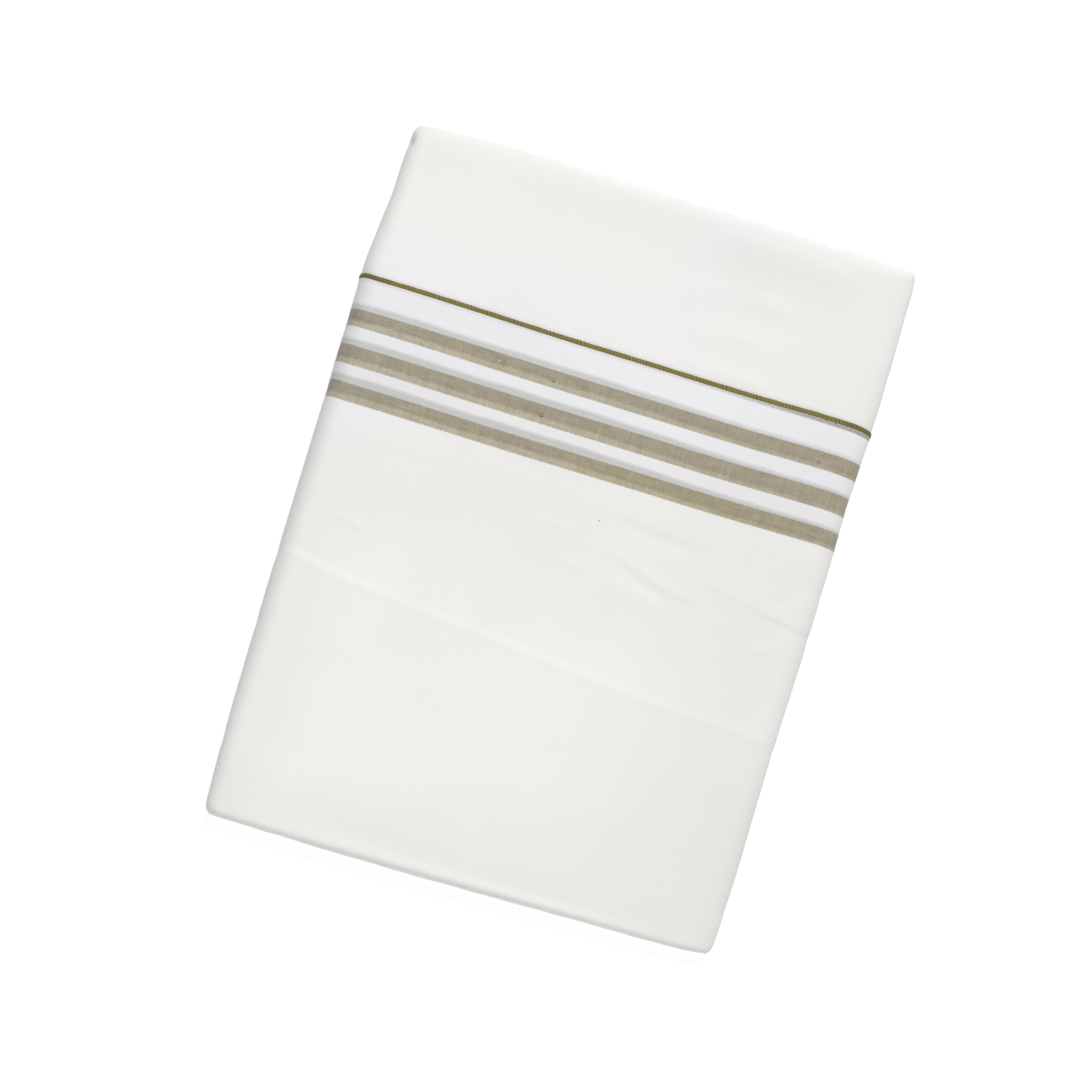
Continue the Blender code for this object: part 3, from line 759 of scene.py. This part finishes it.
def stripe_yarns(nodes, across, x, down, yarn, to_right, under_ply, ply_end):
    """Heathered stripe yarns: drifts of hue, blotches, streaks down and grain, dashes and slubs."""
    stripe = nodes.mix(to_right * 0.50, STRIPE, STRIPE_OVER)
    stripe = nodes.mix(under_ply, stripe, STRIPE_OVER)
    hue = nodes.yarns(across, down, 0.075, 0.12, 19)
    drift = nodes.mix(hue.step(0.34, 0.66), (0.988, 1.006, 0.990, 1), (1.014, 0.994, 0.982, 1))
    stripe = nodes.patches(nodes.tint(stripe, drift), x, down, STRIPE_PATCHES)
    streak = nodes.yarns(across, down, 0.50, 0.060, 13)
    blotch = nodes.yarns(across, down, 0.10, 0.26, 2, 1.5)
    heather = (yarn.weft.spread(0.060) + yarn.warp.spread(0.040) + yarn.fine.spread(0.11)
               + streak.spread(0.045) + blotch.spread(0.065) + 1)
    stripe = nodes.shade(stripe, heather)
    # dark dashes where a stripe of the ply beneath ends
    dash = nodes.yarns(across, down, 1, 1.6, 23)
    dashes = nodes.maths("MULTIPLY", dash.step(0.50, 0.66), under_ply - ply_end, clamp=True)
    stripe = nodes.mix(dashes * 0.45, stripe, STRIPE_DASH)
    for slubs, colour in ((DARK_SLUBS, DARK_SLUB), (WHITE_SLUBS, WHITE_SLUB)):
        for slub in slubs:
            stripe = nodes.slub(stripe, x, down, slub, colour)
    return stripe


def border_material():
    """The bordered cotton: its ground, the stripes of both plies, the line beside the cord, and painted shadow
    along the cord.
    """
    nodes = Nodes("woven_border_cotton")
    across, from_selvage = nodes.cloth_millimetres()
    x = across - ROUND_AT_TOP_MIDDLE
    yarn = weave(nodes, across, from_selvage)
    # the border is a little wider at the left, and skewed where it turns round each side
    down = from_selvage * x.scale(-200, 30, 0.991, 1) * x.scale(-15, 110, 1, 0.988)
    left_turn = x.step(-118, -132) * from_selvage.step(14, 60).blend(-0.25, 0.30)
    down = down + left_turn + x.step(118, 132) * 0.3
    to_right = x.step(-10, 125)
    ground = border_ground(nodes, across, x, down, yarn)
    # the ply beneath lies higher, by less toward the right, and shows softly through the top one
    stray = (yarn.weft - 0.5) * 0.7
    top_ply = stripe_mask(down + stray, (0.30, 0.30), 0.34)
    sway = nodes.noise(nodes.vector(across, 0, 5), 0.045)
    under_down = down + to_right.blend(3.55, 1.95) + sway.spread(0.25) + stray * 0.7 + yarn.fine.spread(0.20)
    under_ply = stripe_mask(under_down - 0.35, (0.3, 0.9), 1)
    ply_end = stripe_mask(under_down + 1.3, (0.3, 0.9), 0.4)
    deeper = down.scale(15, 55, 0, 1) * to_right.blend(0.75, 0)
    showing = stripe_mask(under_down + deeper, (0.6, 2), 0.75, to_right)
    mottle = nodes.yarns(across, down, 1.3, 0.8, 17)
    uneven = yarn.fine.spread(0.14) + mottle.spread(0.12) + 1
    colour = nodes.mix(nodes.maths("MULTIPLY", showing, uneven, clamp=True), ground, SEEN_THROUGH)
    stripe = stripe_yarns(nodes, across, x, down, yarn, to_right, under_ply, ply_end)
    colour = nodes.mix(top_ply, colour, stripe)
    # a dotted grey band below the cord, painted shadow of the cord together with the under ply's selvage showing
    # through; it widens and darkens toward the right
    width = x.scale(-20, 112, 0, 1.75)
    band = from_selvage.step(width + 1.85, width + 0.75)
    dots = nodes.yarns(across, down, 2.4, 1.2, 9)
    speckled = dots.step(0.50, 0.62) * x.step(-40, 62) * 0.62
    solid = dots.scale(0.30, 0.50, 0.50, 0.95) * x.step(30, 112)
    line = nodes.mix(dots.step(0.48, 0.66), LINE_SHADOW, LINE_DOTS)
    colour = nodes.mix(band * nodes.maths("MAXIMUM", speckled, solid), colour, line)
    # painted shadow of the cord on the cloth beside it
    painted_cord_shadow = (from_selvage + dots.spread(0.35)).step(3.3, 0.9)
    colour = nodes.shade(colour, painted_cord_shadow.blend(1, 0.84))
    return nodes.finish_cotton(nodes.slub(colour, x, down, FLECK, FLECK_DARK), yarn.height)


def plain_material():
    """The plain stretch's cotton, softly uneven, with painted shadow beside the cord, painted shade at the right
    edge and between the ripples, and a painted highlight on the top fold's rim.
    """
    nodes = Nodes("woven_plain_cotton")
    across, up = nodes.cloth_millimetres()
    x = across - ROUND_AT_TOP_MIDDLE
    yarn = weave(nodes, across, up)
    cloud = nodes.noise(nodes.vector(across, up, 40), 0.016)
    wander = cloud.scale(0.3, 0.7, -14, 14)
    wavy_x, wavy_up = x + wander, up + wander * 0.4
    ground = nodes.mix(wavy_x.step(-40, 56), PLAIN, PLAIN_RIGHT)
    ground = nodes.patches(ground, wavy_x, wavy_up, PLAIN_WANDERING)
    ground = nodes.patches(ground, x, wavy_up, PLAIN_NEAR_SELVAGE)
    ground = nodes.patches(ground, x, up, PLAIN_PATCHES)
    # painted shadow of the cord on the plain stretch beside it
    painted_cord_shadow = up.step(3, 0.9).blend(0, -0.07)
    # painted shade where the right edge turns down
    painted_edge_shade = x.step(108, 122).blend(0, -0.020)
    tone = cloud.scale(0.25, 0.75, 0.990, 1.010) + yarn.grain + painted_cord_shadow + painted_edge_shade
    return nodes.finish_cotton(nodes.shade(ground, tone), yarn.height)


def inner_material():
    """The hidden turns' cotton."""
    nodes = Nodes("folded_inner_cotton")
    yarn = weave(nodes, *nodes.cloth_millimetres())
    tone = yarn.weft.scale(0.2, 0.8, 0.975, 1.015) + yarn.fine.scale(0.2, 0.8, -0.012, 0.012)
    return nodes.finish_cotton(nodes.shade(INNER, tone), yarn.height)


def cord_material():
    """Olive thread, with painted shade between the two yarns' lobes."""
    nodes = Nodes("olive_selvage_thread")
    across, down = nodes.cloth_millimetres()
    lobe = nodes.make("Attribute", attribute_name="lobe", output="Fac")
    # painted shade in the grooves between the two yarns' lobes
    colour = nodes.mix(lobe.step(0.05, 0.75), THREAD_GROOVE_SHADE, THREAD)
    # greener toward the plain stretch, and painted shade where it turns round each side
    greener = down.step(700 * CORD_HALF_WIDTH, 940 * CORD_HALF_WIDTH)
    colour = nodes.tint(colour, nodes.mix(greener, (1.05, 1.03, 1.10, 1), (0.75, 0.79, 0.60, 1)))
    from_middle = nodes.maths("ABSOLUTE", across - ROUND_AT_TOP_MIDDLE)
    colour = nodes.shade(colour, from_middle.step(94, 130).blend(1, 0.80))
    fibre = nodes.yarns(across, down, 3, 4, 0)
    drift = nodes.noise(nodes.vector(across, 0, 4), 0.12)
    uneven = fibre.scale(0.2, 0.8, 0.86, 1.14) + drift.scale(0.3, 0.7, -0.06, 0.06)
    return nodes.finish_cotton(nodes.shade(colour, uneven), fibre, sheen=0.15)


# ---- the pieces
places = section_places(14, 24, 150)
ROUND = round_length(places)
OVER = (places >= 2.0) & (places <= 3.0)
ROUND_AT_TOP_MIDDLE = 1000.0 * float(np.interp(0.0, form(places[OVER], 0.5 * LENGTH)[:, 0], ROUND[OVER]))


def cloth_uv(columns, down):
    """UV of a grid: distance round the cloth, and distance from the selvage, in metres."""
    return np.stack(np.broadcast_arrays(columns[None, :], down), axis=-1)


def lip_distance(place):
    """Where the outer turn starts at the bottom end: at the lip on top, further in beneath."""
    on_top = BOTTOM_END.reach * (1.0 - math.sin(math.radians(LIP)))
    return on_top + (UNDER_LIP - on_top) * (1.0 - side_share(place))


def crease_stations(start, stop, count):
    """Distances along the packet, closer together over the creases."""
    spacing = np.array([(0.010, 0.8), (0.024, 1.1), (0.100, 1.3), (0.103, 0.6), (0.134, 0.6),
                        (0.140, 1.0), (0.152, 0.7), (0.200, 0.7), (0.206, 1.3), (0.275, 1.3)])
    fine = np.linspace(start, stop, 4000)
    rows = 1.0 / np.interp(fine, spacing[:, 0], spacing[:, 1])
    passed = np.concatenate([[0.0], np.cumsum(0.5 * (rows[1:] + rows[:-1]))])
    return np.interp(np.linspace(0.0, passed[-1], count), passed, fine)


def border_cloth(material):
    """The outer turn's bordered stretch, from the lip at the bottom end up to the cord."""
    first = end_angles(BOTTOM_END.reach, LIP, LIP_ROWS)
    first += list(np.linspace(BOTTOM_END.reach, LIP_EASE, LIP_ROWS))[:-1]
    last = SELVAGE_ALONG - CORD_HALF_WIDTH + CORD_OVERLAP
    start = lip_distance(places)
    drawn_in = [start + (LIP_EASE - start) * (station - first[0]) / (LIP_EASE - first[0]) for station in first]
    straight = [np.full(len(places), station) for station in crease_stations(LIP_EASE, last, BORDER_ROWS)]
    level = np.array(drawn_in + straight)
    along = level + selvage_rise(places) * smooth((level - RISE_START) / RISE_OVER)
    outer = surface(places[None, :], along, 0.0, BORDER_SEED)
    thickness = form_normal(places[None, :], along) * CLOTH
    return shell("border_cloth", outer, thickness, cloth_uv(ROUND, SELVAGE_ALONG - level), material, BORDER_KEEPS)


def plain_cloth(material):
    """The plain stretch, from its tuck under the border up over the top end to the lip."""
    start = np.where(OVER, SELVAGE_ALONG - TUCK + TUCK_SHORT, SELVAGE_ALONG + CORD_HALF_WIDTH - CORD_OVERLAP)
    start += selvage_rise(places)
    joined = SELVAGE_ALONG + PLAIN_LEVEL
    lines = [start * (1.0 - t) + joined * t for t in np.linspace(0.0, 1.0, LIP_ROWS)]
    onward = list(np.linspace(joined, LENGTH - TOP_END.reach, PLAIN_ROWS))[1:]
    tips = [LENGTH - distance for distance in end_angles(TOP_END.reach, TOP_LIP, TOP_ROWS)][::-1]
    along = np.array(lines + [[value] * len(places) for value in onward + tips])
    share = top_share(places)[None, :]
    depth = PLAIN_DEPTH * share + SIDE_DEPTH * (side_share(places)[None, :] - share)
    outer = surface(places[None, :], along, depth, PLAIN_SEED)
    thickness = form_normal(places[None, :], along) * CLOTH
    return shell("plain_cloth", outer, thickness, cloth_uv(ROUND, along - SELVAGE_ALONG), material, PLAIN_KEEPS)


def ripples(run, waves):
    """A sum of sine waves along the cord, each a height, a length and a start."""
    return sum(height * np.sin(run / length + start) for height, length, start in waves)


def selvage_twist(material):
    """The corded selvage: two yarns twisted together, as lobed rings that follow the selvage."""
    fine = np.linspace(0.0, LAST_PLACE, 6000)
    lengths = round_length(fine)
    count = int(lengths[-1] / CORD_STEP)
    run = np.linspace(0.0, lengths[-1], count)
    place = np.interp(run, lengths, fine)
    along = SELVAGE_ALONG + selvage_rise(place)
    proud = side_share(place)
    centre = surface(place, along + CORD_SET_UP, 0.0, BORDER_SEED)
    normal = form_normal(place, along)
    ahead = form(place, along + 0.0005) - form(place, along - 0.0005)
    ahead /= np.linalg.norm(ahead, axis=-1, keepdims=True)
    uneven = ripples(1000.0 * run, ((0.9, 2.3, 1.0), (0.7, 1.27, 2.1), (0.5, 5.9, 0.0)))
    thick = 1.0 + ripples(1000.0 * run, ((0.035, 3.1, 0.0), (0.03, 1.7, 0.6)))
    half_height = CORD_HALF_HEIGHT - 0.0001 * (1.0 - proud)
    ring_points, uvs, lobes = [], [], []
    for k in range(CORD_SIDES):
        turn = math.tau * k / CORD_SIDES
        lobe = np.abs(np.cos(turn - math.tau * run / CORD_TWIST - uneven))
        across = CORD_HALF_WIDTH * math.cos(turn) * (0.90 + 0.10 * lobe) * thick
        rise = half_height * math.sin(turn) * (0.80 + 0.22 * lobe**0.6) - CORD_DEPTH
        rise = np.maximum(rise, -CORD_LOWEST)
        rise = np.where(proud < 0.02, np.minimum(rise, 0.0), rise)  # nothing stands out beneath
        ring_points.append(centre + ahead * across[:, None] + normal * rise[:, None])
        uvs.append(np.stack([run, np.full(count, 0.5 * CORD_HALF_WIDTH * (1.0 + math.cos(turn)))], axis=-1))
        lobes.append(lobe)
    points = np.stack(ring_points, axis=1).reshape(-1, 3)
    uv = np.stack(uvs, axis=1).reshape(-1, 2)
    return make_object("selvage_twist", points, tube_faces(count, CORD_SIDES), uv, material,
                       {"lobe": np.stack(lobes, axis=1).ravel()})


def fold_wander(x, waves, phases):
    """How far back a fold strays along its line."""
    return np.abs(sum(height * np.sin(math.tau * x / length + phase)
                      for (height, length), phase in zip(waves, phases)))


def stacked_end(place, toward, folds, seed):
    """Rings over one end's face, from the outer turn's lip over its stacked folds to the middle."""
    phases = np.random.default_rng(seed).uniform(0.0, math.tau, (folds, len(END_WAVES)))
    ring = form(place, np.full(len(place), 0.0 if toward < 0 else LENGTH))
    low_z, high_z = ring[:, 2].min(), ring[:, 2].max()
    left, right = ring[:, 0].min(), ring[:, 0].max()
    half, centre_z = 0.5 * (high_z - low_z), 0.5 * (high_z + low_z)
    rows = []
    for step in range(folds * ROWS_A_FOLD):
        inward = (step + 0.5) / (folds * ROWS_A_FOLD)
        fold = min(int(inward * folds), folds - 1)
        across_fold = 2.0 * (inward * folds - fold) - 1.0
        share = 0.97 * inward
        row = ring.copy()
        row[:, 0] = np.clip(ring[:, 0], left + half * share, right - half * share)
        row[:, 2] = centre_z + (ring[:, 2] - centre_z) * (1.0 - share)
        rise = FOLD_DEPTH * (math.sqrt(max(1.0 - across_fold**2, 0.0)) - 1.0)
        back = END_SET_BACK + END_EVERY_OTHER * (fold % 2) + fold_wander(row[:, 0], END_WAVES, phases[fold])
        row[:, 1] += toward * (rise - back)
        rows.append(row)
    return rows


def under_folds():
    """Rows over the folds that step back beneath the bottom end, and how far each is set in."""
    reach = BOTTOM_END.under_reach
    fine = np.linspace(0.00001, 0.9 * reach, 4000)
    height = BOTTOM_END.lift * end_turn(fine, reach)
    travelled = np.concatenate([[0.0], np.cumsum(np.hypot(np.diff(fine), np.diff(height)))])
    steps = (np.arange(UNDER_FOLDS * ROWS_A_FOLD) + 0.5) / (UNDER_FOLDS * ROWS_A_FOLD)
    across_fold = 2.0 * (steps * UNDER_FOLDS % 1.0) - 1.0
    return np.interp(steps * travelled[-1], travelled, fine), FOLD_DEPTH * (1.0 - np.sqrt(1.0 - across_fold**2))


def folded_layers(material):
    """The hidden turns: fold ridges beneath and over both ends, plain faces under the cloth."""
    place = section_places(26, 18, 120)[:-1]
    lengths = round_length(np.append(place, LAST_PLACE))[:-1]
    share, side = top_share(place), side_share(place)
    beneath, set_in = under_folds()
    on_top = np.linspace(FOLDS_FROM, FOLDS_CLEAR, len(beneath) + 1)[:-1]
    ahead = list(np.linspace(FOLDS_CLEAR, LENGTH - TOP_END.reach - 0.002, CORE_ROWS))
    ahead += [LENGTH - TOP_END.reach * (1.0 - math.sin(math.radians(turn))) for turn in CORE_TURNS]
    lines = [near * side + under * (1.0 - side) for near, under in zip(on_top, beneath)]
    lines += [np.full(len(place), along) for along in ahead]
    backs = list(set_in) + [0.0] * len(ahead)
    phases = np.random.default_rng(13).uniform(0.0, math.tau, (UNDER_FOLDS, len(UNDER_WAVES)))
    under_plain = CORE_DEPTH * share + CORE_SIDE_DEPTH * (side - share)
    dip_start = SELVAGE_ALONG - TUCK - CORE_STEP_BACK
    bare_until = lip_distance(place) - BARE_SHORT
    rows = []
    for row, (along, back) in enumerate(zip(lines, backs)):
        fold = min(row // ROWS_A_FOLD, UNDER_FOLDS - 1)
        base = form(place, along)
        covered = CORE_DEPTH + under_plain * smooth((along - dip_start) / CORE_STEP)
        opened = UNDER_SET_BACK + back + UNDER_EVERY_OTHER * (fold % 2)
        opened += fold_wander(base[:, 0], UNDER_WAVES, phases[fold])
        bare = smooth((bare_until - along) / BARE_EASE)
        depth = covered * (1.0 - bare) + opened * bare
        rows.append(base - form_normal(place, along) * depth[:, None])
    rows = stacked_end(place, -1.0, BOTTOM_FOLDS, 11)[::-1] + rows + stacked_end(place, 1.0, TOP_FOLDS, 12)
    uv = np.concatenate([np.stack([lengths, row[:, 1] - row[:, 2]], axis=-1) for row in rows])
    return make_object("folded_layers", np.concatenate(rows), tube_faces(len(rows), len(place)), uv, material)


# ---- studio
CAMERA_TILT, CAMERA_ROLL = 13.5, 16.2  # degrees
CAMERA_AWAY = 12.0
CAMERA_LENS, CAMERA_SENSOR = 835.6, 36.0
LOOKED_AT = Vector((0.0, 0.0005, 0.008))
MOVED_RIGHT, MOVED_UP = -0.0105, -0.00119  # the camera off that point, in the picture's own directions
LAMPS = [  # name, direction from the packet, distance, size, power
    ("key", (0.125, 0.600, 0.790), 5.0, 2.4, 205.0),
    ("fill", (0.0, -0.788, 0.616), 4.0, 2.4, 45.0),
]
WORLD_STRENGTH, BACKGROUND_SEEN = 0.28, 0.97
FLOOR_WHITE, FLOOR_GLOW = 0.15, 0.895
FLOOR_SIZE, FLOOR_BELOW = 60.0, 0.0002


def set_camera(scene):
    """Look down on the packet from far off, tilted and rolled as in the photo."""
    tilt, roll = math.radians(CAMERA_TILT), math.radians(CAMERA_ROLL)
    forward = Vector((0.0, math.sin(tilt), -math.cos(tilt)))
    level = Vector((0.0, math.cos(tilt), math.sin(tilt)))
    right = Vector((1.0, 0.0, 0.0)) * math.cos(roll) + level * math.sin(roll)
    up = Vector((-1.0, 0.0, 0.0)) * math.sin(roll) + level * math.cos(roll)
    camera = bpy.data.objects.new("camera", bpy.data.cameras.new("camera"))
    camera.data.sensor_width = CAMERA_SENSOR
    camera.data.lens = CAMERA_LENS
    camera.data.clip_end = 5.0 * CAMERA_AWAY
    place = LOOKED_AT - forward * CAMERA_AWAY + right * MOVED_RIGHT + up * MOVED_UP
    camera.matrix_world = Matrix.Translation(place) @ Matrix((right, up, -forward)).transposed().to_4x4()
    scene.collection.objects.link(camera)
    scene.camera = camera


def set_lamp(scene, name, toward, away, size, power):
    light = bpy.data.lights.new(name, "AREA")
    light.shape = "DISK"
    light.size = size
    light.energy = power
    source = bpy.data.objects.new(name, light)
    source.location = [away * part for part in toward]
    source.rotation_euler = (-Vector(toward)).to_track_quat("-Z", "Y").to_euler()
    source.visible_camera = False
    scene.collection.objects.link(source)


def set_world(scene):
    """White all round: dim as a light, bright where the camera sees it."""
    scene.world = bpy.data.worlds.new("studio")
    scene.world.use_nodes = True
    tree = scene.world.node_tree
    light_only = tree.nodes["Background"]
    seen = tree.nodes.new("ShaderNodeBackground")
    for background, strength in ((light_only, WORLD_STRENGTH), (seen, BACKGROUND_SEEN)):
        background.inputs["Color"].default_value = WHITE
        background.inputs["Strength"].default_value = strength
    path = tree.nodes.new("ShaderNodeLightPath")
    mix = tree.nodes.new("ShaderNodeMixShader")
    tree.links.new(path.outputs["Is Camera Ray"], mix.inputs[0])
    tree.links.new(light_only.outputs[0], mix.inputs[1])
    tree.links.new(seen.outputs[0], mix.inputs[2])
    tree.links.new(mix.outputs[0], tree.nodes["World Output"].inputs["Surface"])


def set_floor():
    """White paper beneath the packet."""
    bpy.ops.mesh.primitive_plane_add(size=FLOOR_SIZE, location=(0.0, 0.0, -FLOOR_BELOW))
    floor = bpy.context.object
    floor.name = "floor"
    paper = Nodes("white_paper")
    for key, value in (("Base Color", (FLOOR_WHITE, FLOOR_WHITE, FLOOR_WHITE, 1.0)), ("Emission Color", WHITE),
                       ("Emission Strength", FLOOR_GLOW), ("Roughness", 0.95), ("Specular IOR Level", 0.0)):
        paper.put(value, paper.shader.inputs[key])
    floor.data.materials.append(paper.material)


scene = bpy.context.scene
scene.view_settings.view_transform = "Standard"
set_camera(scene)
for lamp in LAMPS:
    set_lamp(scene, *lamp)
set_world(scene)
set_floor()

border = border_cloth(border_material())
plain = plain_cloth(plain_material())
twist = selvage_twist(cord_material())
layers = folded_layers(inner_material())

for piece, node, slot in ((border, "border_stretch", "border_cotton"), (plain, "plain_stretch", "plain_cotton"),
                          (twist, "selvage_cord", "selvage_thread"), (layers, "folded_core", "inner_cotton")):
    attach(piece, "root")
    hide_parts(node)
